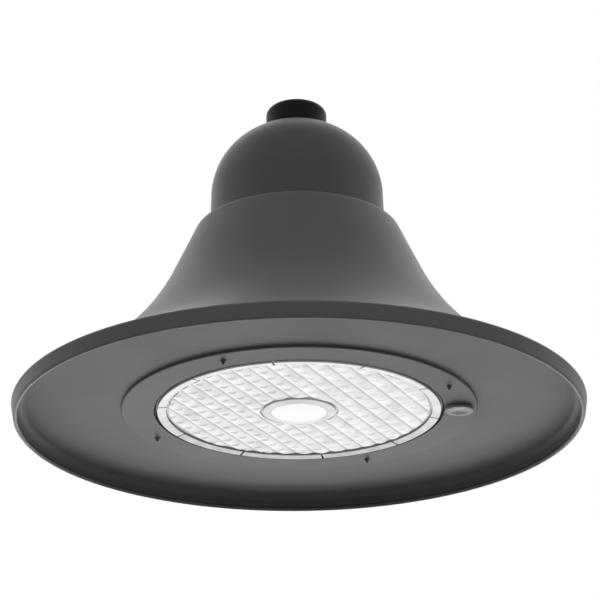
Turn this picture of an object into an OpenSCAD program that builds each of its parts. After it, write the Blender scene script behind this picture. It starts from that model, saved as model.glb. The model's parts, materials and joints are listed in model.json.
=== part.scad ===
// Pendant bell area light: a spun shade under a cast dome, hung from a pipe hub.
// The hub axis is Z, the foot of the lip is at Z = 0 and the light leaves downward.
// Lengths are in millimetres and angles in degrees.

/* [Shade] */
// Widest diameter, across the lip
shade_d = 610; // [560:1:720]
// Height from the foot of the lip to the flat top
shade_h = 225; // [200:1:260]
// Thickness of the spun sheet
shade_t = 2; // [1.5:0.1:2.2]
// Flat landing left around the dome
landing_w = 9.4; // [6:0.1:16]
// Radius of the rounded shoulder
shoulder_r = 10; // [6:0.5:14]
// Angle of the straight wall from the vertical
wall_slope = 24.5; // [18:0.5:30]
// Slope of the brim from the horizontal, where it meets the lip
brim_slope = 19.3; // [16:0.1:24]
// Radius of the flare between wall and brim, as far as there is room for it
flare_radius = 285; // [60:1:300]
// Height of the bend at the top of the lip
lip_h = 14.5; // [13:0.5:22]
// Radius of that bend
bend_r = 3; // [2.6:0.1:5]
// Inward taper of the lip
lip_taper = 10; // [4:1:14]
// Radius of the bead rolled at the foot of the lip
bead_r = 2.2; // [2:0.1:3]
// From the face of the dome in to the wiring hole in the flat top
top_hole_in = 35; // [27:1:45]

/* [Dome housing] */
// Diameter of the dome
dome_d = 190; // [170:1:220]
// How far the centre of the arc of the dome's side lies off the axis
side_off = 12.2; // [4:0.1:20]
// How much larger the radius of the crown is than half the dome
crown_more = 6.3; // [2:0.1:12]
// Height of the dome's widest circle above its foot, over the drafted neck
neck_h = 40.3; // [30:0.1:54]
// Casting draft of the neck
neck_draft = 1.5; // [1:0.5:3]
// Wall of the casting
dome_t = 3; // [2.5:0.5:5]
// Width of the flat on the crown outside the hub
crown_land = 0.5; // [0.5:0.1:3]
// Thickness of the crown under the hub
crown_t = 8; // [6:0.5:12]
// Width of the bolting flange, in from the face of the dome
flange_w = 23; // [20:0.5:25]
// Thickness of the bolting flange
flange_t = 6; // [5:0.5:9]
// From the face of the dome in to the flange bolts and the tie posts
bolt_in = 13; // [11:0.5:15]
// Thickness of the gasket under the dome
dome_gasket_t = 1.5; // [1:0.5:3]

/* [Pipe hub] */
// Outside diameter of the hub
hub_d = 67.6; // [66:0.1:72]
// Height of the hub above its gasket
hub_h = 26.5; // [26:0.5:45]
// Radius of its rounded top edge
hub_round = 9.4; // [3:0.1:9.6]
// Tapped bore for a 1 1/2 inch pipe
pipe_bore_d = 44.5; // [40:0.1:46]
// Depth of that bore
pipe_bore_l = 24; // [20:0.5:25]
// Threaded neck that passes through the crown
hub_neck_d = 44; // [40:1:46]
// Wire way through the neck
wire_way_d = 34; // [24:1:36]
// Wall of the locknut at its flats
locknut_wall = 8; // [6:0.5:11]
// Locknut thickness
locknut_t = 8; // [6:0.5:12]
// Diameter of the set screw that locks the pipe
set_screw_d = 8; // [6:1:8]

/* [Face plate and door] */
// Height of the underside of the face plate above the bend of the lip
plate_rise = 2.5; // [1.5:0.5:3.5]
// Thickness of the face plate
plate_t = 1.5; // [1:0.1:1.8]
// Outer radius of the bend between plate and skirt
skirt_bend_r = 9; // [6:0.5:10]
// Width of the round door outside the lens
door_w = 38.7; // [38:0.1:48]
// Thickness of the door
door_t = 2.5; // [2.5:0.5:4]
// Chamfer round the edge of the door
door_edge = 1; // [0.5:0.1:1.5]
// From the edge of the door in to its four screws
door_screw_in = 16.5; // [14.5:0.5:17.5]
// Turn of the lens cells and the door screws about the hub axis
optic_turn = 64; // [0:1:90]
// Width of the gasket strip in the back of the door
door_gasket_w = 4; // [3:0.5:5]
// Depth of its groove
door_groove = 1.4; // [1:0.1:1.6]

/* [Lens] */
// Diameter of the lens in the door
lens_d = 301.6; // [250:0.2:364]
// Open gap between the lens and the door
lens_gap = 4; // [2:0.5:4.5]
// How far the rim of the lens stands below the door
rim_proud = 1; // [0.5:0.1:2]
// Width of that rim
rim_w = 9; // [5:0.5:11]
// How much higher the inner edge of the rim lies than the outer edge
rim_rise = 1.2; // [0.5:0.1:1.5]
// Number of slots across the rim
rim_slots = 10; // [4:1:16]
// Width of a slot
slot_w = 2.4; // [1:0.2:5]
// Width of the clamped flange behind the door
lens_flange_w = 7; // [6:0.5:7]
// Thickness of the clamped flange
lens_flange_t = 2.5; // [2:0.5:3]
// Thickness of the lens gasket
lens_gasket_t = 1; // [0.5:0.1:1.5]
// Pitch of the square lens cells
cell = 18.5; // [16:0.5:24]
// How far the crests of the cells lie above the outer edge of the rim
cell_rise = 2; // [1.6:0.1:2.5]
// Depth of the grooves between the rows of cells
row_depth = 2.4; // [1.6:0.1:2.8]
// Depth of the shallow grooves across each row
cross_depth = 0.9; // [0.5:0.1:1.2]
// Width of the smooth channel that runs round the cells, inside and out
channel_w = 3; // [2:0.5:5]
// Diameter of the smooth boss in the middle
boss_d = 78; // [74:1:90]
// Diameter of the centre cap in the boss
cap_d = 60; // [50:1:68]

/* [Light engine] */
// How far the heat sink stays inside the edge of the door
sink_in = 4.5; // [2:0.5:7]
// Thickness of the heat sink over the board
sink_t = 6; // [5:0.5:9]
// Height of the pocket for the board
pocket_h = 8; // [7:0.5:10]
// Number of radial fins
fins = 36; // [24:4:36]
// Height of the fins
fin_h = 45; // [25:1:50]
// Thickness of a fin
fin_t = 2.5; // [2:0.1:3]
// From the circle of the tie posts out to the fins
fin_gap = 10; // [8:1:28]
// How far the board stays inside the edge of the lens
board_in = 12.8; // [11:0.1:20]
// Thickness of the board
board_t = 1.6; // [1:0.1:2]
// Side of one square emitter
led_w = 5; // [3:0.5:7]
// Height of one emitter
led_h = 1; // [0.5:0.1:1.5]

/* [Gear] */
// How far the gear tray stays inside the shoulder of the shade
tray_in = 4.4; // [2:0.1:8]
// Thickness of the gear tray
tray_t = 2; // [1.5:0.1:3]
// Depth of the rim turned down round the tray
tray_rim = 12; // [8:1:20]
// Length of the driver case
driver_l = 120; // [100:1:122]
// Width of the driver case
driver_w = 68; // [50:1:70]
// Height of the driver case
driver_h = 38; // [28:1:50]
// Length of the surge protector
surge_l = 42; // [30:1:44]
// Width of the surge protector
surge_w = 26; // [18:1:28]
// Height of the surge protector
surge_h = 30; // [20:1:40]
// Length of the terminal block
terminal_l = 44; // [30:1:50]
// Width of the terminal block
terminal_w = 20; // [14:1:24]
// Height of the terminal block
terminal_h = 18; // [12:1:24]
// Length of a fixing foot on the gear
foot_l = 9; // [8:0.5:10]
// Diameter of a tie post
post_d = 10; // [9:0.5:10.5]
// Diameter of the leads to the board
lead_d = 3; // [2:0.5:4]

/* [Sensor plug] */
// Diameter of the plug's face
plug_d = 30; // [26:1:32]
// How far it stands below the door
plug_proud = 3; // [2:0.1:4]
// Diameter of its threaded stem
stem_d = 14; // [12:0.5:14]
// Place of the plug round the door
plug_turn = -3; // [-10:1:4]

/* [Screws and fits] */
// Size of the flange bolts and tie post studs
bolt_d = 6; // [5:1:6]
// Size of the door screws
door_screw_d = 4; // [4:1:5]
// Size of the small screws inside
small_screw_d = 3; // [3:0.5:4]
// Room round a shank in its hole
shank_fit = 0.15; // [0.1:0.05:0.3]
// Room round a piece that drops into its place
drop_fit = 0.3; // [0.2:0.05:0.5]

/* [Hidden] */
$fn = 96;

// An arc bites this far past the wall it runs into, so the two always meet in one clean edge
nip = 0.01;

// Radii from the named diameters
shade_r = shade_d / 2;
dome_r = dome_d / 2;
hub_r = hub_d / 2;
flange_bore_r = dome_r - flange_w;
bolt_circle_r = dome_r - bolt_in;
lens_r = lens_d / 2;
door_r = lens_r + door_w;
door_screw_r = door_r - door_screw_in;

// Profile of the shade: directions and centres of its arcs, in the radius and height plane
wall_out = [cos(wall_slope), sin(wall_slope)];
lip_out = [cos(lip_taper), -sin(lip_taper)];
shoulder_c = [dome_r + landing_w, shade_h - shoulder_r + nip];
wall_top = shoulder_c + (shoulder_r - nip) * wall_out;
bend_c = [shade_r - bend_r, lip_h];
wall_dir = [-sin(wall_slope), cos(wall_slope)];
brim_dir = [cos(brim_slope), -sin(brim_slope)];
brim_out = [sin(brim_slope), cos(brim_slope)];
brim_end = bend_c + (bend_r - nip) * brim_out;
to_top = cross(wall_top - brim_end, brim_dir) / cross(wall_dir, brim_dir);
corner = wall_top - to_top * wall_dir;
to_brim = norm(brim_end - corner);
flare_turn = 90 - wall_slope - brim_slope;
flare_r = min(flare_radius, 0.98 * min(to_top, to_brim) / tan(flare_turn / 2));
flare_foot = (flare_r - nip) * tan(flare_turn / 2);
wall_foot = corner + flare_foot * wall_dir;
brim_start = corner + flare_foot * brim_dir;
flare_c = wall_foot + (flare_r - nip) * wall_out;
lip_top = bend_c + (bend_r - nip) * lip_out;
bead_c = [lip_top[0] - (lip_h - bead_r) * tan(lip_taper) - (bead_r - nip) / cos(lip_taper), bead_r];

// Profile of the dome: one arc for its side, and one for its crown that runs on from it
dome_z = shade_h + dome_gasket_t;
neck_out = [cos(neck_draft), sin(neck_draft)];
side_r = dome_r - side_off;
side_c = [side_off, dome_z + neck_h];
crown_r = dome_r + crown_more;
crown_c = side_c - [side_off, sqrt(pow(crown_r - side_r, 2) - side_off * side_off)];
crown_z = crown_c[1] + sqrt(crown_r * crown_r - pow(hub_r + crown_land, 2));

// Heights, from the foot of the lip up
plate_z = lip_h + plate_rise;
door_z = plate_z - door_t;
rim_z = door_z - rim_proud;
crest_z = rim_z + cell_rise;
boss_z = rim_z + 0.5;
plate_top = plate_z + plate_t;
flange_z = plate_z + lens_gasket_t;
lens_top = flange_z + lens_flange_t;
board_top = plate_top + pocket_h;
board_z = board_top - board_t;
sink_top = board_top + sink_t;
tray_top = shade_h - shade_t;
tray_z = tray_top - tray_t;
hub_gasket_t = 1.5;
hub_z = crown_z + hub_gasket_t;
hub_top = hub_z + hub_h;
locknut_z = crown_z - crown_t - locknut_t;

// Radii that follow from a neighbour
plate_bore_r = lens_r + lens_flange_w + 1.2;
board_r = lens_r - board_in;
board_screw_r = board_r - 8;
pocket_r = board_r + 4;
sink_r = door_r - sink_in;
tray_r = shoulder_c[0] - tray_in;
locknut_af = hub_neck_d + 2 * locknut_wall;
skirt_r = bead_c[0] - bead_r + plate_t;
door_bore_r = lens_r + lens_gap;
field_r = lens_r - rim_w;
lens_flange_r = lens_r + lens_flange_w;
door_gasket_r = door_r - 8;
plug_place = [(lens_r + door_r) / 2 * cos(plug_turn), (lens_r + door_r) / 2 * sin(plug_turn), 0];
fin_start_r = bolt_circle_r + fin_gap;
fin_end_r = sink_r - 10;
door_head_h = 1.5;
nut_t = 5;
nut_af = stem_d + 6;
post_turn = 45;
lead_x = 6;

// Places of the gear on its tray
foot_t = 2;
ground_d = 5;
grommet_hole_d = 14;
gear_gap = 6;
driver_place = [0, 8, 0];
driver_side = driver_place[1] - driver_w / 2;
surge_place = [18, driver_side - gear_gap - surge_w / 2, 0];
terminal_place = [0, 22, 0];
ground_place = [-34, -8, 0];
grommet_place = [-27, driver_side - grommet_hole_d, 0];
function ends_of(place, length) = [for (side = [-1, 1]) place + [side * (length + foot_l) / 2, 0, 0]];
driver_holes = ends_of(driver_place, driver_l);
surge_holes = ends_of(surge_place, surge_l);
terminal_holes = ends_of(terminal_place, terminal_l);
foot_holes = concat(driver_holes, surge_holes, terminal_holes);

// Cells of the lens that hold an emitter
cells_out = floor(board_r / cell);
function clear_of_posts(p) = min([for (k = [0:3])
    norm(p - bolt_circle_r * [cos(post_turn - optic_turn + 90 * k), sin(post_turn - optic_turn + 90 * k)])])
    > bolt_d + led_w;
function holds_led(p) = norm(p) < board_r - 10 && norm(p) > boss_d / 2 && clear_of_posts(p);

// Copies its child on a circle
module round_about(radius, count, start = 0) {
    for (k = [0:count - 1]) rotate(start + 360 * k / count) translate([radius, 0, 0]) children();
}

// Flat ring
module ring(outer_r, inner_r, z, h) {
    translate([0, 0, z]) difference() {
        cylinder(r = outer_r, h = h);
        translate([0, 0, -1]) cylinder(r = inner_r, h = h + 2);
    }
}

// Half of a turned body in the radius and height plane, with its top edge rounded
module round_top_half(radius, z0, z1, round_r) {
    corner = [radius - round_r + nip, z1 - round_r + nip];
    polygon([[0, z0], [radius, z0], [radius, corner[1]], corner, [corner[0], z1], [0, z1]]);
    translate(corner) circle(round_r);
}

// The shade filled to its axis, set in from its outer face by a wall
module shade_outline(inset, foot) {
    lip_start = bend_c + (bend_r - nip - inset) * lip_out;
    difference() {
        union() {
            polygon([
                [0, foot],
                [lip_start[0] - (lip_start[1] - foot) * tan(lip_taper), foot],
                lip_start,
                bend_c,
                bend_c + (bend_r - nip - inset) * brim_out,
                brim_start - inset * brim_out,
                wall_foot - inset * wall_out,
                wall_top - inset * wall_out,
                shoulder_c,
                [shoulder_c[0], shade_h - inset],
                [0, shade_h - inset]
            ]);
            translate(shoulder_c) circle(shoulder_r - inset);
            translate(bend_c) circle(bend_r - inset);
        }
        translate(flare_c) circle(flare_r + inset);
    }
}

module bell_shade() {
    color("dimgray") difference() {
        rotate_extrude() {
            difference() {
                shade_outline(0, bead_r);
                shade_outline(shade_t, -5);
                square([dome_r - top_hole_in, shade_h + 1]);
            }
            translate(bead_c) circle(bead_r);
        }
        translate([0, 0, tray_top - 1]) {
            round_about(bolt_circle_r, 8) cylinder(d = bolt_d + 2 * shank_fit, h = shade_t + 2);
        }
    }
}

// The dome filled to its axis, set in by a wall
module dome_outline(inset) {
    neck_top = side_c + (side_r - nip - inset) * neck_out;
    to_side = (side_c - crown_c) / norm(side_c - crown_c);
    intersection() {
        union() {
            translate(side_c) circle(side_r - inset);
            intersection() {
                translate(crown_c) circle(crown_r - nip - inset);
                polygon([crown_c, crown_c + 2 * crown_r * to_side, crown_c + [0, 2 * crown_r]]);
            }
            polygon([
                [0, dome_z],
                [neck_top[0] + (neck_top[1] - dome_z) * tan(neck_draft), dome_z],
                neck_top,
                [0, neck_top[1]]
            ]);
        }
        translate([0, dome_z]) square([dome_r * 2, dome_r * 3]);
    }
}

module dome_housing() {
    color("gray") difference() {
        rotate_extrude() {
            difference() {
                dome_outline(0);
                translate([0, crown_z]) square([dome_r, dome_r]);
                intersection() {
                    dome_outline(dome_t);
                    square([dome_r * 2, crown_z - crown_t]);
                }
            }
            translate([flange_bore_r, dome_z]) square([flange_w - dome_t / 2, flange_t]);
        }
        translate([0, 0, crown_z - crown_t - 1]) cylinder(d = hub_neck_d + 2 * shank_fit, h = crown_t + 2);
        translate([0, 0, dome_z - 1]) round_about(bolt_circle_r, 8) {
            cylinder(d = bolt_d + 2 * shank_fit, h = flange_t + 2);
        }
    }
}

module dome_gasket() {
    color("black") difference() {
        ring(dome_r - 1, flange_bore_r, shade_h, dome_gasket_t);
        translate([0, 0, shade_h - 1]) round_about(bolt_circle_r, 8) {
            cylinder(d = bolt_d + 2 * shank_fit, h = dome_gasket_t + 2);
        }
    }
}

// Four bolts hold tray, shade and gasket to the dome between the tie posts
module dome_bolts() {
    color("silver") translate([0, 0, tray_z]) round_about(bolt_circle_r, 4) {
        translate([0, 0, -bolt_d * 0.66]) cylinder(d = bolt_d * 1.15 * 1.7, h = bolt_d * 0.66, $fn = 6);
        cylinder(d = bolt_d, h = tray_t + shade_t + dome_gasket_t + flange_t - 1);
    }
}

module hub_coupling() {
    shoulder_z = hub_top - pipe_bore_l;
    color([0.12, 0.12, 0.12]) difference() {
        union() {
            rotate_extrude() round_top_half(hub_r, hub_z, hub_top, hub_round);
            translate([0, 0, locknut_z - 2]) cylinder(d = hub_neck_d, h = hub_z - locknut_z + 3);
        }
        translate([0, 0, locknut_z - 3]) cylinder(d = wire_way_d, h = hub_top);
        translate([0, 0, shoulder_z]) cylinder(d = pipe_bore_d, h = pipe_bore_l + 1);
        translate([0, 0, hub_top - pipe_bore_l / 2]) rotate([-90, 0, 0]) {
            cylinder(d = set_screw_d + 2 * shank_fit, h = hub_r + 1);
        }
    }
}

module hub_gasket() {
    color("black") ring(hub_r - 0.5, hub_neck_d / 2 + drop_fit, crown_z, hub_gasket_t);
}

module hub_locknut() {
    color("silver") translate([0, 0, locknut_z]) difference() {
        cylinder(d = locknut_af / cos(30), h = locknut_t, $fn = 6);
        translate([0, 0, -1]) cylinder(d = hub_neck_d + 2 * shank_fit, h = locknut_t + 2);
    }
}

// Socket set screw in the back of the hub, just short of the pipe
module hub_set_screw() {
    start = pipe_bore_d / 2 + 0.3;
    length = hub_r - start - 0.4;
    color("silver") translate([0, start, hub_top - pipe_bore_l / 2]) rotate([-90, 0, 0]) difference() {
        cylinder(d = set_screw_d, h = length);
        translate([0, 0, length - 4]) cylinder(d = set_screw_d * 0.55, h = 5, $fn = 6);
    }
}

// The plate and its skirt, filled to the axis and set in by a wall
module plate_outline(inset, foot) {
    round_top_half(skirt_r - inset, foot, plate_top - inset, skirt_bend_r - inset);
}

// The skirt of the plate stands on the bead of the lip
module face_plate() {
    color("whitesmoke") difference() {
        rotate_extrude() difference() {
            plate_outline(0, 2 * bead_r);
            plate_outline(plate_t, -1);
            square([plate_bore_r, plate_top + 1]);
        }
        translate([0, 0, plate_z - 1]) {
            round_about(door_screw_r, 4, optic_turn) cylinder(d = door_screw_d + 2 * shank_fit, h = plate_t + 2);
            translate(plug_place) cylinder(d = stem_d + 2 * shank_fit, h = plate_t + 2);
        }
    }
}

// Soft strip between the skirt of the plate and the lip
module rim_seal() {
    foot = 2 * bead_r + 0.3;
    top = plate_top - skirt_bend_r;
    lip_in = [lip_top[0] - shade_t / cos(lip_taper) - 0.05, lip_top[1]];
    color("black") rotate_extrude() polygon([
        [skirt_r, foot],
        [lip_in[0] - (lip_in[1] - foot) * tan(lip_taper), foot],
        [lip_in[0] - (lip_in[1] - top) * tan(lip_taper), top],
        [skirt_r, top]
    ]);
}

module optic_door() {
    color("white") difference() {
        rotate_extrude() polygon([
            [door_bore_r, door_z],
            [door_r - door_edge, door_z],
            [door_r, door_z + door_edge],
            [door_r, plate_z],
            [door_bore_r, plate_z]
        ]);
        ring(door_gasket_r, door_gasket_r - door_gasket_w, plate_z - door_groove, door_groove + 1);
        translate([0, 0, door_z - 1]) {
            round_about(door_screw_r, 4, optic_turn) {
                cylinder(d = door_screw_d + 2 * shank_fit, h = door_t + 2);
                cylinder(d = head_of(door_screw_d) + 2 * drop_fit, h = 1 + door_head_h);
            }
            translate(plug_place) cylinder(d = stem_d + 2 * shank_fit, h = door_t + 2);
        }
    }
}

module door_gasket() {
    color("black") ring(door_gasket_r - 0.2, door_gasket_r - door_gasket_w + 0.2, plate_z - door_groove, door_groove);
}

function head_of(screw_d) = 1.6 * screw_d;

// Pan head with a cross recess, its shank along +Z from the seat
module pan_screw(d, length, head_h) {
    head_d = head_of(d);
    difference() {
        union() {
            translate([0, 0, -head_h]) {
                cylinder(d1 = head_d * 0.75, d2 = head_d, h = head_h * 0.4);
                translate([0, 0, head_h * 0.4]) cylinder(d = head_d, h = head_h * 0.6);
            }
            cylinder(d = d, h = length);
        }
        translate([0, 0, -head_h]) {
            cube([head_d * 0.55, d * 0.2, head_h], center = true);
            cube([d * 0.2, head_d * 0.55, head_h], center = true);
        }
    }
}

// Screws with their heads sunk flush into the door
module door_screws() {
    color("dimgray") translate([0, 0, door_z + door_head_h]) round_about(door_screw_r, 4, optic_turn) {
        pan_screw(door_screw_d, door_t - door_head_h + plate_t + 8, door_head_h);
    }
}

// Rows of round-backed ridges with their crests down, one arc to a row
module ridges(crest, depth) {
    arc_r = (cell * cell / 4 + depth * depth) / (2 * depth);
    count = ceil(field_r / cell) + 1;
    rotate([90, 0, 0]) linear_extrude(height = lens_d, center = true) intersection() {
        for (k = [-count:count]) translate([k * cell, crest + arc_r]) circle(arc_r);
        translate([-lens_d, crest - 1]) square([2 * lens_d, lens_top - crest]);
    }
}

// Pillow cells between boss and rim: deep rows one way, shallow rows across them
module lens_cells() {
    relief = 0.5;
    intersection() {
        ridges(crest_z, row_depth);
        rotate(90) ridges(crest_z - relief, cross_depth + relief);
        ring(field_r - channel_w, boss_d / 2 + channel_w, crest_z - 1, lens_top - crest_z);
    }
}

module optic_lens() {
    floor_z = crest_z + row_depth - 0.15;
    boss_fall = 0.8;
    slot_h = 3;
    color([0.9, 0.93, 0.95]) difference() {
        union() {
            rotate(optic_turn + 90) lens_cells();
            rotate_extrude() polygon([
                [0, boss_z],
                [cap_d / 2 + 1, boss_z],
                [boss_d / 2, boss_z + boss_fall],
                [boss_d / 2, floor_z],
                [field_r, floor_z],
                [field_r, rim_z + rim_rise],
                [lens_r, rim_z],
                [lens_r, flange_z],
                [lens_flange_r, flange_z],
                [lens_flange_r, lens_top],
                [0, lens_top]
            ]);
        }
        translate([0, 0, boss_z - 1]) cylinder(r = cap_d / 2 + drop_fit, h = flange_z - boss_z + 1);
        cylinder(d = 12 + 2 * shank_fit, h = lens_top + 1);
        for (k = [0:rim_slots - 1]) rotate(8 + 360 * k / rim_slots) {
            translate([field_r - 1, -slot_w / 2, rim_z - 1]) cube([rim_w + 2, slot_w, slot_h + 1]);
        }
    }
}

module lens_gasket() {
    color("black") ring(lens_flange_r - 0.5, lens_r + 1.5, plate_z, lens_gasket_t);
}

// White cap pressed into the boss of the lens
module centre_cap() {
    cap_proud = 0.2;
    color("white") {
        rotate([180, 0, 0]) rotate_extrude() {
            round_top_half(cap_d / 2, -flange_z, cap_proud - boss_z, 0.8);
        }
        translate([0, 0, flange_z - 0.5]) cylinder(d = 12, h = lens_top - flange_z + 0.5);
        translate([0, 0, lens_top]) cylinder(d1 = 15, d2 = 12, h = 1.5);
    }
}

module sensor_plug() {
    dish_r = plug_d / 3;
    dish_h = 1.1;
    dish_ball = (dish_r * dish_r + dish_h * dish_h) / (2 * dish_h);
    face_z = door_z - 0.8 - plug_proud;
    color("lightgray") translate(plug_place) difference() {
        union() {
            rotate([180, 0, 0]) rotate_extrude() round_top_half(plug_d / 2, -(door_z - 0.8), -face_z, 1.2);
            translate([0, 0, door_z - 1]) cylinder(d = stem_d, h = plate_top + nut_t + 2 - door_z);
        }
        translate([0, 0, face_z + dish_h - dish_ball]) sphere(dish_ball);
    }
}

module plug_gasket() {
    color("black") translate(plug_place) ring(plug_d / 2 - 1.5, stem_d / 2 + 0.2, door_z - 0.8, 0.8);
}

module plug_nut() {
    color("silver") translate(plug_place) translate([0, 0, plate_top]) difference() {
        cylinder(d = nut_af / cos(30), h = nut_t, $fn = 6);
        translate([0, 0, -1]) cylinder(d = stem_d + 2 * shank_fit, h = nut_t + 2);
    }
}

module fin() {
    rotate([90, 0, 0]) linear_extrude(height = fin_t, center = true) polygon([
        [fin_start_r, sink_top - 1],
        [fin_end_r, sink_top - 1],
        [fin_end_r, sink_top + fin_h * 0.35],
        [fin_end_r - fin_h * 0.55, sink_top + fin_h],
        [fin_start_r, sink_top + fin_h]
    ]);
}

module heat_sink() {
    color("silver") difference() {
        union() {
            translate([0, 0, plate_top]) cylinder(r = sink_r, h = sink_top - plate_top);
            for (k = [0:fins - 1]) rotate(360 * k / fins) fin();
        }
        cylinder(r = plate_bore_r, h = lens_top);
        cylinder(r = pocket_r, h = board_top);
        round_about(door_screw_r, 4, optic_turn) cylinder(d = door_screw_d + 2 * shank_fit, h = plate_top + 8);
        translate([0, 0, board_top - 1]) {
            round_about(bolt_circle_r, 4, post_turn) cylinder(d = bolt_d + 2 * shank_fit, h = sink_t + 2);
            round_about(board_screw_r, 6, 15) cylinder(d = small_screw_d + 2 * shank_fit, h = sink_t);
            for (x = [-lead_x, lead_x]) translate([x, 0, 0]) cylinder(d = lead_d + 1, h = sink_t + 2);
        }
        translate(plug_place) cylinder(d = nut_af / cos(30) + 3, h = plate_top + nut_t + 3);
    }
}

module led_board() {
    color("seagreen") difference() {
        translate([0, 0, board_z]) cylinder(r = board_r, h = board_t);
        translate([0, 0, board_z - 1]) {
            round_about(bolt_circle_r, 4, post_turn) cylinder(d = bolt_d * 2 + 1, h = board_t + 2);
            round_about(board_screw_r, 6, 15) cylinder(d = small_screw_d + 2 * shank_fit, h = board_t + 2);
        }
    }
}

// One emitter behind each full cell
module led_chips() {
    color("khaki") rotate(optic_turn + 90) for (i = [-cells_out:cells_out], j = [-cells_out:cells_out]) {
        if (holds_led([cell * i, cell * j])) {
            translate([cell * i - led_w / 2, cell * j - led_w / 2, board_z - led_h]) cube([led_w, led_w, led_h]);
        }
    }
}

module board_screws() {
    color("dimgray") translate([0, 0, board_z]) round_about(board_screw_r, 6, 15) {
        pan_screw(small_screw_d, board_t + sink_t - 2, 2);
    }
}

module gear_tray() {
    color("lightsteelblue") difference() {
        union() {
            translate([0, 0, tray_z]) cylinder(r = tray_r, h = tray_t);
            ring(tray_r, tray_r - tray_t, tray_top - tray_rim, tray_rim - tray_t / 2);
        }
        translate([0, 0, tray_z - 1]) {
            round_about(bolt_circle_r, 8) cylinder(d = bolt_d + 2 * shank_fit, h = tray_t + 2);
            for (p = foot_holes) translate(p) cylinder(d = small_screw_d + 2 * shank_fit, h = tray_t + 2);
            translate(ground_place) cylinder(d = ground_d + 2 * shank_fit, h = tray_t + 2);
            translate(grommet_place) cylinder(d = grommet_hole_d, h = tray_t + 2);
        }
    }
}

// Posts hang the heat sink from the dome flange, through tray and shade
module tie_posts() {
    color("silver") round_about(bolt_circle_r, 4, post_turn) difference() {
        union() {
            translate([0, 0, sink_top]) cylinder(d = post_d, h = tray_z - sink_top);
            translate([0, 0, tray_z - 1]) {
                cylinder(d = bolt_d, h = 1 + tray_t + shade_t + dome_gasket_t + flange_t - 1);
            }
        }
        translate([0, 0, sink_top - 1]) cylinder(d = bolt_d + 2 * shank_fit, h = 13);
    }
}

module post_screws() {
    color("silver") translate([0, 0, board_top]) round_about(bolt_circle_r, 4, post_turn) {
        pan_screw(bolt_d, sink_t + 10, 3.4);
    }
}

// Case of a piece of gear with a foot at each end, hung from z = 0 with its feet up
module footed_case(size, foot_t) {
    edge = 2;
    rotate([90, 0, 90]) translate([0, 0, -size[0] / 2]) linear_extrude(height = size[0]) polygon([
        [-size[1] / 2, 0],
        [-size[1] / 2, -size[2] + edge],
        [-size[1] / 2 + edge, -size[2]],
        [size[1] / 2 - edge, -size[2]],
        [size[1] / 2, -size[2] + edge],
        [size[1] / 2, 0]
    ]);
    for (side = [-1, 1]) difference() {
        translate([side * (size[0] + foot_l) / 2 - side / 2, 0, -foot_t / 2]) {
            cube([foot_l + 1, size[1] * 0.45, foot_t], center = true);
        }
        translate([side * (size[0] + foot_l) / 2, 0, -foot_t - 1]) {
            cylinder(d = small_screw_d + 2 * shank_fit, h = foot_t + 2);
        }
    }
}

// Ribbed metal case under the tray
module led_driver() {
    rib_pitch = 10;
    ribs = floor(driver_l / rib_pitch) - 1;
    color("gainsboro") translate(driver_place) translate([0, 0, tray_z]) difference() {
        footed_case([driver_l, driver_w, driver_h], foot_t);
        for (k = [0:ribs - 1], side = [-1, 1]) {
            translate([(k - (ribs - 1) / 2) * rib_pitch, side * driver_w / 2, -driver_h / 2]) {
                cube([rib_pitch / 2, 3, driver_h * 0.6], center = true);
            }
        }
    }
}

module surge_protector() {
    color("firebrick") translate(surge_place) translate([0, 0, tray_z]) {
        footed_case([surge_l, surge_w, surge_h], foot_t);
    }
}

// Three-way block on top of the tray, with its wire entries along one side
module terminal_block() {
    ways = 3;
    way_w = terminal_l / ways;
    color("ivory") translate(terminal_place) translate([0, 0, tray_top]) difference() {
        mirror([0, 0, 1]) footed_case([terminal_l, terminal_w, terminal_h], foot_t);
        for (k = [0:ways - 1]) translate([(k - (ways - 1) / 2) * way_w, 0, 0]) {
            translate([0, 0, terminal_h - 6]) cylinder(d = way_w * 0.4, h = 7);
            translate([0, terminal_w / 2 + 1, 6]) rotate([90, 0, 0]) cylinder(d = lead_d + 1, h = 8);
        }
    }
}

// Small screws through the feet: the driver and surge protector from below, the block from above
module gear_screws() {
    length = foot_t + tray_t - 0.2;
    color("dimgray") {
        for (p = concat(driver_holes, surge_holes)) {
            translate(p) translate([0, 0, tray_z - foot_t]) pan_screw(small_screw_d, length, 2);
        }
        for (p = terminal_holes) {
            translate(p) translate([0, 0, tray_top + foot_t]) rotate([180, 0, 0]) pan_screw(small_screw_d, length, 2);
        }
    }
}

module ground_screw() {
    head_h = 3.5;
    color("green") translate(ground_place) translate([0, 0, tray_top]) {
        cylinder(d = ground_d * 1.8, h = head_h, $fn = 6);
        translate([0, 0, -tray_t + 0.2]) cylinder(d = ground_d, h = tray_t);
    }
}

// Rubber bush snapped into the tray
module wire_grommet() {
    lip_h = 1.5;
    lip_w = 2;
    color("black") translate(grommet_place) difference() {
        union() {
            translate([0, 0, tray_z - lip_h]) cylinder(d = grommet_hole_d + 2 * lip_w, h = lip_h);
            translate([0, 0, tray_z - 1]) cylinder(d = grommet_hole_d - 0.1, h = tray_t + 2);
            translate([0, 0, tray_top]) cylinder(d1 = grommet_hole_d + 2 * lip_w, d2 = grommet_hole_d + lip_w, h = lip_h);
        }
        translate([0, 0, tray_z - lip_h - 1]) cylinder(d = grommet_hole_d * 0.6, h = tray_t + 2 * lip_h + 2);
    }
}

// Two leads drop from the driver through the heat sink to the board
module board_leads() {
    color("crimson") for (x = [-lead_x, lead_x]) {
        translate([x, 0, board_top]) cylinder(d = lead_d, h = tray_z - driver_h - board_top);
    }
}

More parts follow.
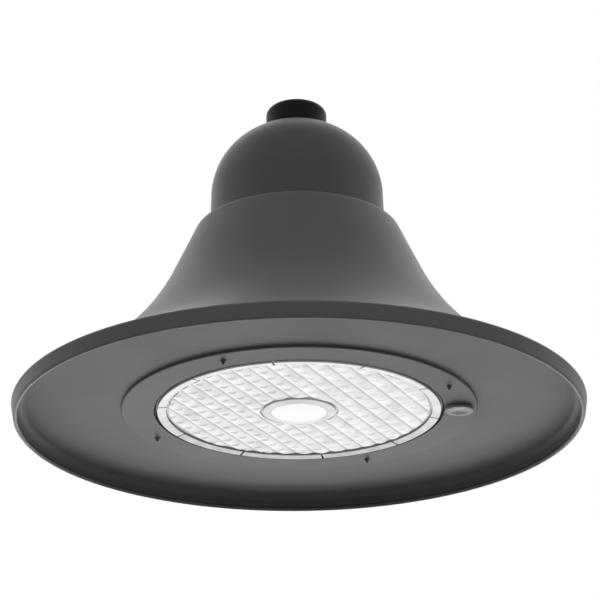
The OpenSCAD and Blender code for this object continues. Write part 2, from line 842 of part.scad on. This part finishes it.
bell_shade();
dome_housing();
dome_gasket();
dome_bolts();
hub_coupling();
hub_gasket();
hub_locknut();
hub_set_screw();
face_plate();
rim_seal();
optic_door();
door_gasket();
door_screws();
optic_lens();
lens_gasket();
centre_cap();
sensor_plug();
plug_gasket();
plug_nut();
heat_sink();
led_board();
led_chips();
board_screws();
gear_tray();
tie_posts();
post_screws();
led_driver();
surge_protector();
terminal_block();
gear_screws();
ground_screw();
wire_grommet();
board_leads();
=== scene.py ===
import json
import math
import bpy
from mathutils import Matrix, Vector


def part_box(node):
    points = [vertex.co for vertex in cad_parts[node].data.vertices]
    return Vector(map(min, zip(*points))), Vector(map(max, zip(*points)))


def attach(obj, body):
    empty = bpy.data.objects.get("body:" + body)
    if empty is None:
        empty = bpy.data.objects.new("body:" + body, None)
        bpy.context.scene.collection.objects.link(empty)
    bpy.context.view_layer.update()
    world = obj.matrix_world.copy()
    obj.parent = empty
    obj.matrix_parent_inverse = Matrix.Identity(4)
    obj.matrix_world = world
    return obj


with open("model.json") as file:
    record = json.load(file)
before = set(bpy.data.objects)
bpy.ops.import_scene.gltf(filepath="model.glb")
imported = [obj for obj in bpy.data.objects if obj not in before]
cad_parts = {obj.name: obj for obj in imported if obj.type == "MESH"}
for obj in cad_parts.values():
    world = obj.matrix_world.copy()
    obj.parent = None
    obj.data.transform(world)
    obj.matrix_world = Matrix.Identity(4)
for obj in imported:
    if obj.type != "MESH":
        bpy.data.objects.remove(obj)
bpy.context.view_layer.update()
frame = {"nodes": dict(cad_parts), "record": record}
nodes = frame["nodes"]
print("frame loaded,", len(nodes), "nodes")

# Camera: below the lamp and looking up at it, as the photograph does
cameraSetup = {
    "place": (0.0, -2.3541, -0.8415),
    "target": (0.00206, 0.0, 0.14435),
    "rollDegrees": -0.59,
    "lens": 140.95,
    "sensor": 36.0,
    "clipEnd": 60.0,
}


def addCamera(values):
    place = Vector(values["place"])
    ahead = (Vector(values["target"]) - place).normalized()
    level = ahead.cross(Vector((0, 0, 1))).normalized()
    raised = level.cross(ahead)
    roll = math.radians(values["rollDegrees"])
    right = math.cos(roll) * level + math.sin(roll) * raised
    up = -math.sin(roll) * level + math.cos(roll) * raised
    data = bpy.data.cameras.new("camera")
    data.lens = values["lens"]
    data.sensor_width = values["sensor"]
    data.clip_end = values["clipEnd"]
    camera = bpy.data.objects.new("camera", data)
    bpy.context.scene.collection.objects.link(camera)
    turn = Matrix((right, up, -ahead)).transposed()
    camera.matrix_world = Matrix.Translation(place) @ turn.to_4x4()
    bpy.context.scene.camera = camera


addCamera(cameraSetup)
print("camera placed")


# Put a number, a colour or another node's output into a socket
def feed(tree, socket, value):
    if isinstance(value, bpy.types.NodeSocket):
        tree.links.new(value, socket)
    else:
        socket.default_value = value


def addMath(tree, operation, *values):
    step = tree.nodes.new("ShaderNodeMath")
    step.operation = operation
    for socket, value in zip(step.inputs, values):
        feed(tree, socket, value)
    return step.outputs[0]


# Map one range to another, held level past both ends
def addRamp(tree, value, fromRange, toRange, kind="LINEAR"):
    step = tree.nodes.new("ShaderNodeMapRange")
    step.interpolation_type = kind
    names = ("Value", "From Min", "From Max", "To Min", "To Max")
    for name, part in zip(names, (value, *fromRange, *toRange)):
        feed(tree, step.inputs[name], part)
    return step.outputs["Result"]


def addMix(tree, mask, first, second):
    step = tree.nodes.new("ShaderNodeMix")
    for name, value in (("Factor", mask), ("A", first), ("B", second)):
        feed(tree, step.inputs[name], value)
    return step.outputs["Result"]


def splitVector(tree, vector):
    parts = tree.nodes.new("ShaderNodeSeparateXYZ")
    feed(tree, parts.inputs[0], vector)
    return parts.outputs


# Studio: bright behind the lamp, soft at the sides, dim towards the camera
studio = {
    "floorHeight": -4.2,
    "floorSize": 50.0,
    "floorColor": (0.75, 0.75, 0.75, 1),
    "floorRoughness": 0.9,
    "floorGlow": 0.45,
    "frontSky": 0.415,
    "frontFade": (0.1, -0.9),
    "skyRise": (-0.25, 0.35),
    "shownBackdrop": 1.6,
    "backdropFade": (-0.1, 0.7),
    "lampTarget": (0.0, 0.0, 0.12),
}
lamps = {
    "backLow": {"place": (0.0, 3.0, -1.7), "size": (4.0, 1.2), "power": 19.5},
    "backLevel": {"place": (0.0, 3.2, -0.7), "size": (4.0, 1.0), "power": 57.0},
    "backUp": {"place": (0.0, 2.4, 2.4), "size": (3.0, 1.6), "power": 15.0},
    "leftUp": {"place": (-2.6, 0.2, 2.4), "size": (1.6, 1.6), "power": 7.8},
    "rightUp": {"place": (2.6, 0.2, 2.4), "size": (1.6, 1.6), "power": 7.7},
    "leftLow": {"place": (-3.0, 0.9, -0.6), "size": (1.6, 1.4), "power": 6.0},
    "rightLow": {"place": (3.0, 0.9, -0.6), "size": (1.6, 1.4), "power": 8.0},
}


def addFloor(values):
    bpy.ops.object.select_all(action="DESELECT")
    bpy.ops.mesh.primitive_plane_add(size=values["floorSize"], location=(0, 0, values["floorHeight"]))
    floor = bpy.context.object
    floor.name = "floor"
    bpy.ops.object.transform_apply(location=True)
    material = bpy.data.materials.new("floorPale")
    material.use_nodes = True
    tree = material.node_tree
    shader = tree.nodes["Principled BSDF"]
    shader.inputs["Base Color"].default_value = values["floorColor"]
    shader.inputs["Roughness"].default_value = values["floorRoughness"]
    # The glow lifts the floor for the camera alone, so it keeps its shadow and lights nothing
    path = tree.nodes.new("ShaderNodeLightPath")
    shader.inputs["Emission Color"].default_value = (1, 1, 1, 1)
    seen = addMath(tree, "MULTIPLY", path.outputs["Is Camera Ray"], values["floorGlow"])
    feed(tree, shader.inputs["Emission Strength"], seen)
    floor.data.materials.append(material)


def addWorld(values):
    world = bpy.data.worlds.new("studio")
    bpy.context.scene.world = world
    world.use_nodes = True
    tree = world.node_tree
    tree.nodes.clear()
    place = tree.nodes.new("ShaderNodeTexCoord")
    towards = splitVector(tree, place.outputs["Generated"])
    front = addRamp(tree, towards["Y"], values["frontFade"], (0, values["frontSky"]), "SMOOTHSTEP")
    upper = addRamp(tree, towards["Z"], values["skyRise"], (0, 1), "SMOOTHSTEP")
    behind = addRamp(tree, towards["Y"], values["backdropFade"], (0, values["shownBackdrop"]), "SMOOTHSTEP")
    light = addMath(tree, "MULTIPLY", front, upper)
    # Gloss, metal and glass see the white backdrop where it stands, behind the lamp
    path = tree.nodes.new("ShaderNodeLightPath")
    bounced = addMath(tree, "MAXIMUM", path.outputs["Is Glossy Ray"], path.outputs["Is Transmission Ray"])
    shown = addMath(tree, "MULTIPLY", bounced, behind)
    strength = addMix(tree, path.outputs["Is Camera Ray"], addMath(tree, "ADD", light, shown), 1)
    background = tree.nodes.new("ShaderNodeBackground")
    background.inputs["Color"].default_value = (1, 1, 1, 1)
    feed(tree, background.inputs["Strength"], strength)
    output = tree.nodes.new("ShaderNodeOutputWorld")
    tree.links.new(background.outputs[0], output.inputs["Surface"])


def addLamp(name, values, target):
    data = bpy.data.lights.new(name, "AREA")
    data.shape = "RECTANGLE"
    data.size, data.size_y = values["size"]
    data.energy = values["power"]
    lamp = bpy.data.objects.new(name, data)
    bpy.context.scene.collection.objects.link(lamp)
    lamp.location = values["place"]
    towards = Vector(target) - Vector(values["place"])
    lamp.rotation_euler = towards.to_track_quat("-Z", "Y").to_euler()
    lamp.visible_camera = False


addFloor(studio)
addWorld(studio)
for lampName, lampValues in lamps.items():
    addLamp(lampName, lampValues, studio["lampTarget"])
bpy.context.scene.view_settings.view_transform = "Standard"
print("studio lit")

# Finishes of the material slots. Sheen is the specular level, grain the scale of the bump per metre,
# tone how far the colour wanders, and rings the strength of the marks left by spinning
finishes = {
    "housing_paint": {
        "color": (0.264, 0.264, 0.267), "rough": 0.55, "sheen": 0.40,
        "grain": 1100, "bump": 0.10, "tone": 0.03, "rings": 0.05},
    "dome_paint": {
        "color": (0.205, 0.205, 0.208), "rough": 0.52, "sheen": 0.32,
        "grain": 650, "bump": 0.16, "tone": 0.04},
    "hub_black": {
        "color": (0.026, 0.026, 0.027), "rough": 0.55, "sheen": 0.21,
        "grain": 900, "bump": 0.22, "tone": 0.10},
    "plate_paint": {
        "color": (0.212, 0.212, 0.214), "rough": 0.60, "sheen": 0.20,
        "grain": 1100, "bump": 0.08, "tone": 0.025, "rings": 0.04},
    "door_paint": {
        "color": (0.232, 0.232, 0.234), "rough": 0.60, "sheen": 0.20,
        "grain": 1100, "bump": 0.08, "tone": 0.025, "rings": 0.04},
    # Kept dark: the lens's white look is the painted light of its emission
    "lens_acrylic": {
        "color": (0.100, 0.101, 0.102), "rough": 0.50, "sheen": 0.08,
        "grain": 140, "bump": 0.05, "tone": 0.03},
    "cap_white": {
        "color": (0.92, 0.92, 0.92), "rough": 0.40, "sheen": 0.40,
        "grain": 400, "bump": 0.03, "tone": 0.01},
    "plug_plastic": {
        "color": (0.38, 0.38, 0.384), "rough": 0.50, "sheen": 0.35,
        "grain": 1600, "bump": 0.10, "tone": 0.03},
    "seal_rubber": {
        "color": (0.02, 0.02, 0.02), "rough": 0.70, "sheen": 0.30,
        "grain": 900, "bump": 0.30, "tone": 0.20},
    "dark_screw": {
        "color": (0.08, 0.08, 0.085), "rough": 0.45, "sheen": 0.50, "metallic": 0.8,
        "grain": 1500, "bump": 0.10, "tone": 0.12},
    "zinc_steel": {
        "color": (0.60, 0.61, 0.63), "rough": 0.35, "sheen": 0.50, "metallic": 1.0,
        "grain": 350, "bump": 0.10, "tone": 0.10},
    "bare_aluminium": {
        "color": (0.72, 0.73, 0.74), "rough": 0.45, "sheen": 0.50, "metallic": 1.0,
        "grain": 600, "bump": 0.22, "tone": 0.08},
    "board_green": {
        "color": (0.03, 0.20, 0.09), "rough": 0.35, "sheen": 0.50,
        "grain": 300, "bump": 0.08, "tone": 0.10},
    "emitter_yellow": {
        "color": (0.80, 0.62, 0.12), "rough": 0.30, "sheen": 0.50,
        "grain": 900, "bump": 0.05, "tone": 0.06},
    "surge_red": {
        "color": (0.42, 0.03, 0.025), "rough": 0.45, "sheen": 0.40,
        "grain": 1400, "bump": 0.14, "tone": 0.06},
    "block_ivory": {
        "color": (0.75, 0.70, 0.55), "rough": 0.50, "sheen": 0.40,
        "grain": 1400, "bump": 0.14, "tone": 0.05},
    "ground_green": {
        "color": (0.04, 0.28, 0.08), "rough": 0.40, "sheen": 0.50, "metallic": 0.6,
        "grain": 900, "bump": 0.10, "tone": 0.10},
    "lead_red": {
        "color": (0.50, 0.03, 0.03), "rough": 0.45, "sheen": 0.40,
        "grain": 1400, "bump": 0.08, "tone": 0.05},
}


# A node group with its named sockets, and the sockets that bring values in and take them out
def startGroup(name, inputs, outputs):
    group = bpy.data.node_groups.new(name, "ShaderNodeTree")
    for way, sockets in (("INPUT", inputs), ("OUTPUT", outputs)):
        for socketName, kind in sockets.items():
            group.interface.new_socket(socketName, in_out=way, socket_type="NodeSocket" + kind)
    return group, group.nodes.new("NodeGroupInput").outputs, group.nodes.new("NodeGroupOutput").inputs


def addNoise(tree, place, scale, detail, dimensions="3D"):
    noise = tree.nodes.new("ShaderNodeTexNoise")
    noise.noise_dimensions = dimensions
    feed(tree, noise.inputs["W" if dimensions == "1D" else "Vector"], place)
    feed(tree, noise.inputs["Scale"], scale)
    feed(tree, noise.inputs["Detail"], detail)
    return noise.outputs["Fac"]


# Distance from the upright axis
def addRadius(tree, place):
    squares = [addMath(tree, "MULTIPLY", place[axis], place[axis]) for axis in ("X", "Y")]
    return addMath(tree, "SQRT", addMath(tree, "ADD", *squares))


# Grain: fine bumps, and a broad wander of colour and gloss
grainSetup = {
    "fineDetail": 4,
    "broadScale": 9,
    "broadDetail": 3,
    "spread": 4,  # noise stays near its middle, so it is stretched
    "glossRange": (0.85, 1.15),
    "bumpHeight": 0.0004,
}


def makeGrainGroup(values):
    group, given, result = startGroup(
        "surfaceGrain",
        {"Vector": "Vector", "Scale": "Float", "Color": "Color", "Roughness": "Float", "Tone": "Float"},
        {"Color": "Color", "Roughness": "Float", "Height": "Float"})
    fine = addNoise(group, given["Vector"], given["Scale"], values["fineDetail"])
    broad = addNoise(group, given["Vector"], values["broadScale"], values["broadDetail"])
    wander = addMath(group, "MULTIPLY_ADD", broad, values["spread"], -values["spread"] / 2)
    tinted = group.nodes.new("ShaderNodeVectorMath")
    tinted.operation = "SCALE"
    feed(group, tinted.inputs[0], given["Color"])
    feed(group, tinted.inputs["Scale"], addMath(group, "MULTIPLY_ADD", wander, given["Tone"], 1))
    gloss = addRamp(group, broad, (0, 1), values["glossRange"])
    feed(group, result["Color"], tinted.outputs[0])
    feed(group, result["Roughness"], addMath(group, "MULTIPLY", given["Roughness"], gloss))
    feed(group, result["Height"], fine)
    return group


# Faint rings round the axis, as spinning and turning leave them
ringSetup = {
    "scale": 260,
    "detail": 3,
    "bumpHeight": 0.001,
}


def makeRingGroup(values):
    group, given, result = startGroup("spunRings", {"Vector": "Vector"}, {"Height": "Float"})
    place = splitVector(group, given["Vector"])
    along = addMath(group, "ADD", addRadius(group, place), place["Z"])
    feed(group, result["Height"], addNoise(group, along, values["scale"], values["detail"], "1D"))
    return group


grainGroup = makeGrainGroup(grainSetup)
ringGroup = makeRingGroup(ringSetup)


def addBump(tree, height, strength, distance):
    bump = tree.nodes.new("ShaderNodeBump")
    bump.inputs["Strength"].default_value = strength
    bump.inputs["Distance"].default_value = distance
    feed(tree, bump.inputs["Height"], height)
    return bump


def addGroup(tree, group, place):
    step = tree.nodes.new("ShaderNodeGroup")
    step.node_tree = group
    feed(tree, step.inputs["Vector"], place)
    return step


def makeFinish(slotName, values):
    material = bpy.data.materials.new(slotName)
    material.use_nodes = True
    tree = material.node_tree
    shader = tree.nodes["Principled BSDF"]
    shader.inputs["Metallic"].default_value = values.get("metallic", 0)
    shader.inputs["Specular IOR Level"].default_value = values["sheen"]
    place = tree.nodes.new("ShaderNodeTexCoord").outputs["Object"]
    grain = addGroup(tree, grainGroup, place)
    grain.inputs["Scale"].default_value = values["grain"]
    grain.inputs["Color"].default_value = (*values["color"], 1)
    grain.inputs["Roughness"].default_value = values["rough"]
    grain.inputs["Tone"].default_value = values["tone"]
    feed(tree, shader.inputs["Base Color"], grain.outputs["Color"])
    feed(tree, shader.inputs["Roughness"], grain.outputs["Roughness"])
    bump = addBump(tree, grain.outputs["Height"], values["bump"], grainSetup["bumpHeight"])
    if "rings" in values:
        rings = addGroup(tree, ringGroup, place)
        ringBump = addBump(tree, rings.outputs["Height"], values["rings"], ringSetup["bumpHeight"])
        feed(tree, bump.inputs["Normal"], ringBump.outputs["Normal"])
    feed(tree, shader.inputs["Normal"], bump.outputs["Normal"])
    return material


materials = {slotName: makeFinish(slotName, values) for slotName, values in finishes.items()}

# Painted light on the lens and the cap: emission that stands in for their lit look, with painted shade
# in the grooves, slots, walls, cross facets and on the rim's far side. Rises are above the foot of the lens,
# and a share is the part of the painted light that is left there
lensPaintedLight = {
    "crestRise": 0.0020,
    "grooveRise": 0.0044,
    "crestPaintedLight": 0.725,
    "groovePaintedShade": 0.36,
    "grooveSharpness": 4.0,
    "rowTurnDegrees": 64,
    "crossTilt": (0.05, 0.28),
    "crossPaintedShadeShare": 0.74,
    "crossShadeFadeRight": 0.75,
    "crossShadeFadeSpan": (-0.06, 0.03),
    "wallFacing": (0.3, 0.9),
    "wallPaintedShadeShare": 0.30,
    "bossRadius": 0.0392,
    "bossSoftness": 0.0002,
    "bossPaintedLightShare": 0.80,
    "rimRadius": 0.1416,
    "rimSoftness": 0.0003,
    "rimPaintedShadeSpan": (-0.03, 0.12),
    "nearRimPaintedLightShare": 0.90,
    "farRimPaintedShadeShare": 0.70,
    "slotRise": 0.0015,
    "slotSoftness": 0.0003,
    "slotPaintedShadeShare": 0.2,
    "speckleScale": 55,
    "speckleDetail": 2,
    "speckleRange": (0.3, 0.7),
    "paintedLightSpeckle": 0.14,
    "capPaintedGlow": 0.36,
}


def makeLensPaintedLightGroup(values):
    group, given, result = startGroup(
        "lensPaintedLight", {"Vector": "Vector", "Normal": "Vector"}, {"Glow": "Color"})
    place = splitVector(group, given["Vector"])
    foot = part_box("optic_lens")[0].z
    height = addMath(group, "SUBTRACT", place["Z"], foot)
    radius = addRadius(group, place)

    # Rows of cells: painted light on the bright crests, painted shade in the thin grooves and on the cross
    # facets, the facets' painted shade fading out to the right
    depth = addRamp(group, height, (values["crestRise"], values["grooveRise"]), (0, 1))
    groove = addMath(group, "POWER", depth, values["grooveSharpness"])
    rows = addMix(group, groove, values["crestPaintedLight"], values["groovePaintedShade"])
    rowTurn = math.radians(values["rowTurnDegrees"])
    tilt = group.nodes.new("ShaderNodeVectorMath")
    tilt.operation = "DOT_PRODUCT"
    tilt.inputs[1].default_value = (math.cos(rowTurn), math.sin(rowTurn), 0)
    feed(group, tilt.inputs[0], given["Normal"])
    tiltAlongRow = addMath(group, "ABSOLUTE", tilt.outputs["Value"])
    facetPaintedShade = addRamp(group, tiltAlongRow, values["crossTilt"], (1, values["crossPaintedShadeShare"]))
    crossShadeRightward = addRamp(group, place["X"], values["crossShadeFadeSpan"], (0, values["crossShadeFadeRight"]))
    cells = addMath(group, "MULTIPLY", rows, addMix(group, crossShadeRightward, facetPaintedShade, 1))

    # Boss in the middle at its own level of painted light, and the slotted rim, with painted shade in its
    # slots and more painted shade on its far side
    bossSide = (values["bossRadius"] - values["bossSoftness"], values["bossRadius"] + values["bossSoftness"])
    onField = addRamp(group, radius, bossSide, (0, 1))
    inside = addMix(group, onField, values["crestPaintedLight"] * values["bossPaintedLightShare"], cells)
    rimPaintedShadeNearToFar = addRamp(group, place["Y"], values["rimPaintedShadeSpan"], (values["nearRimPaintedLightShare"], values["farRimPaintedShadeShare"]))
    slotFloor = (values["slotRise"], values["slotRise"] + values["slotSoftness"])
    slotPaintedShade = addRamp(group, height, slotFloor, (1, values["slotPaintedShadeShare"]))
    rim = addMath(group, "MULTIPLY", addMath(group, "MULTIPLY", rimPaintedShadeNearToFar, slotPaintedShade), values["crestPaintedLight"])
    rimSide = (values["rimRadius"] - values["rimSoftness"], values["rimRadius"] + values["rimSoftness"])
    onRim = addRamp(group, radius, rimSide, (0, 1))
    zones = addMix(group, onRim, inside, rim)

    # Painted light made uneven all over, and painted shade on the walls
    paintedLightSpeckle = addNoise(group, given["Vector"], values["speckleScale"], values["speckleDetail"])
    unevenPaintedLight = addRamp(group, paintedLightSpeckle, values["speckleRange"], (1 - values["paintedLightSpeckle"], 1 + values["paintedLightSpeckle"]))
    facing = addMath(group, "ABSOLUTE", splitVector(group, given["Normal"])["Z"])
    wallPaintedShade = addRamp(group, facing, values["wallFacing"], (values["wallPaintedShadeShare"], 1))
    lit = addMath(group, "MULTIPLY", zones, unevenPaintedLight)
    feed(group, result["Glow"], addMath(group, "MULTIPLY", lit, wallPaintedShade))
    return group


# The lens's white look is painted light: emission from the group, over a dark own colour
def paintLensLight(material, values):
    tree = material.node_tree
    shader = tree.nodes["Principled BSDF"]
    place = tree.nodes.new("ShaderNodeTexCoord").outputs["Object"]
    surface = tree.nodes.new("ShaderNodeNewGeometry")
    glow = addGroup(tree, makeLensPaintedLightGroup(values), place)
    feed(tree, glow.inputs["Normal"], surface.outputs["True Normal"])
    feed(tree, shader.inputs["Emission Color"], glow.outputs["Glow"])
    shader.inputs["Emission Strength"].default_value = 1


# The cap glows with painted light, on top of its white colour
def paintCapLight(material, values):
    shader = material.node_tree.nodes["Principled BSDF"]
    shader.inputs["Emission Color"].default_value = (1, 1, 1, 1)
    shader.inputs["Emission Strength"].default_value = values["capPaintedGlow"]


paintLensLight(materials["lens_acrylic"], lensPaintedLight)
paintCapLight(materials["cap_white"], lensPaintedLight)
slotOfNode = {part["node"]: part["material_slot"] for part in frame["record"]["subparts"]}
for nodeName, node in nodes.items():
    node.data.materials.clear()
    node.data.materials.append(materials[slotOfNode[nodeName]])
print("finishes given to", len(slotOfNode), "nodes")


def deselectAll():
    if bpy.context.object and bpy.context.object.mode != "OBJECT":
        bpy.ops.object.mode_set(mode="OBJECT")
    bpy.ops.object.select_all(action="DESELECT")


def pickOnly(piece):
    deselectAll()
    piece.select_set(True)
    bpy.context.view_layer.objects.active = piece


def applyAll(piece):
    pickOnly(piece)
    for modifier in list(piece.modifiers):
        bpy.ops.object.modifier_apply(modifier=modifier.name)
    bpy.ops.object.transform_apply(location=True, rotation=True, scale=True)


def copyPiece(piece):
    copy = piece.copy()
    copy.data = piece.data.copy()
    bpy.context.scene.collection.objects.link(copy)
    return copy


def finishPiece(piece, name, slotName, smoothDegrees):
    applyAll(piece)
    piece.name = name
    piece.data.name = name
    bpy.ops.object.shade_smooth_by_angle(angle=math.radians(smoothDegrees))
    piece.data.materials.clear()
    piece.data.materials.append(materials[slotName])
    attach(piece, "root")


# Heads of the door screws: tapered, with a cross recess in the end
doorScrew = {
    "count": 4,
    "circleRadius": 0.173,
    "turnDegrees": 64,
    "topDiameter": 0.0046,
    "endDiameter": 0.0026,
    "proud": 0.0045,
    "sunk": 0.0004,
    "sides": 32,
    "endRound": 0.0003,
    "roundSteps": 3,
    "roundOverDegrees": 50,
    "recessLength": 0.0018,
    "recessWidth": 0.0005,
    "recessDepth": 0.0012,
    "smoothDegrees": 35,
}


def addTaperedHead(values, seat):
    height = values["proud"] + values["sunk"]
    deselectAll()
    bpy.ops.mesh.primitive_cone_add(
        vertices=values["sides"], radius1=values["endDiameter"] / 2, radius2=values["topDiameter"] / 2,
        depth=height, location=(values["circleRadius"], 0, seat + values["sunk"] - height / 2))
    head = bpy.context.object
    bpy.ops.object.transform_apply(location=True)
    rounded = head.modifiers.new("endRound", "BEVEL")
    rounded.width = values["endRound"]
    rounded.segments = values["roundSteps"]
    rounded.angle_limit = math.radians(values["roundOverDegrees"])
    return head


# Two crossed bars cut the recess
def cutRecess(head, values, bottom):
    cutters = []
    bar = (values["recessLength"], values["recessWidth"])
    for across in (bar, bar[::-1]):
        deselectAll()
        bpy.ops.mesh.primitive_cube_add(size=1, location=(values["circleRadius"], 0, bottom))
        cutter = bpy.context.object
        cutter.scale = (*across, 2 * values["recessDepth"])
        bpy.ops.object.transform_apply(location=True, scale=True)
        cut = head.modifiers.new("recess", "BOOLEAN")
        cut.operation = "DIFFERENCE"
        cut.object = cutter
        cutters.append(cutter)
    applyAll(head)
    for cutter in cutters:
        bpy.data.objects.remove(cutter)


def makeDoorScrewHeads(values):
    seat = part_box("door_screws")[0].z
    head = addTaperedHead(values, seat)
    cutRecess(head, values, seat - values["proud"])
    heads = [head]
    for step in range(1, values["count"]):
        copy = copyPiece(head)
        copy.rotation_euler.z = math.tau * step / values["count"]
        heads.append(copy)
    deselectAll()
    for each in heads:
        each.select_set(True)
    bpy.context.view_layer.objects.active = head
    bpy.ops.object.transform_apply(rotation=True)
    bpy.ops.object.join()
    head.rotation_euler.z = math.radians(values["turnDegrees"])
    finishPiece(head, "door_screw_heads", "door_paint", values["smoothDegrees"])


# Pipe thread in the bore of the hub: a wound triangle, its flats closed at both ends
pipeThread = {
    "mouthRise": 0.004,
    "leadIn": 0.0006,
    "length": 0.0225,
    "pitch": 0.00221,
    "depth": 0.0011,
    "stepsPerTurn": 48,
    "mergeWithin": 0.000002,
    "smoothDegrees": 20,
}


def windThread(values, boreRadius, top):
    turns = int(values["length"] / values["pitch"]) - 1
    start = top - values["leadIn"] - (turns + 1) * values["pitch"]
    deselectAll()
    bpy.ops.mesh.primitive_circle_add(
        vertices=3, radius=values["depth"], fill_type="NOTHING", rotation=(math.pi / 2, 0, 0))
    thread = bpy.context.object
    thread.rotation_euler.y = -math.pi / 2
    bpy.ops.object.transform_apply(rotation=True)
    thread.location = (boreRadius, 0, start)
    bpy.ops.object.transform_apply(location=True)
    winding = thread.modifiers.new("winding", "SCREW")
    winding.angle = math.tau
    winding.screw_offset = values["pitch"]
    winding.iterations = turns
    winding.steps = values["stepsPerTurn"]
    winding.render_steps = values["stepsPerTurn"]
    winding.use_merge_vertices = True
    winding.merge_threshold = values["mergeWithin"] / 2
    applyAll(thread)
    return thread


def makePipeThread(values):
    mount = next(mount for mount in frame["record"]["mounts"] if mount["name"] == "pipe_hub")
    thread = windThread(values, mount["dims"]["r_mm"] / 1000, mount["pos_m"][2] + values["mouthRise"])
    bpy.ops.object.mode_set(mode="EDIT")
    bpy.ops.mesh.select_all(action="SELECT")
    bpy.ops.mesh.remove_doubles(threshold=values["mergeWithin"])
    bpy.ops.mesh.select_non_manifold(extend=False)
    bpy.ops.mesh.edge_face_add()
    bpy.ops.mesh.select_all(action="SELECT")
    bpy.ops.mesh.normals_make_consistent(inside=False)
    bpy.ops.object.mode_set(mode="OBJECT")
    finishPiece(thread, "pipe_thread", "hub_black", values["smoothDegrees"])


makeDoorScrewHeads(doorScrew)
print("screw heads made")
makePipeThread(pipeThread)
print("pipe thread made")
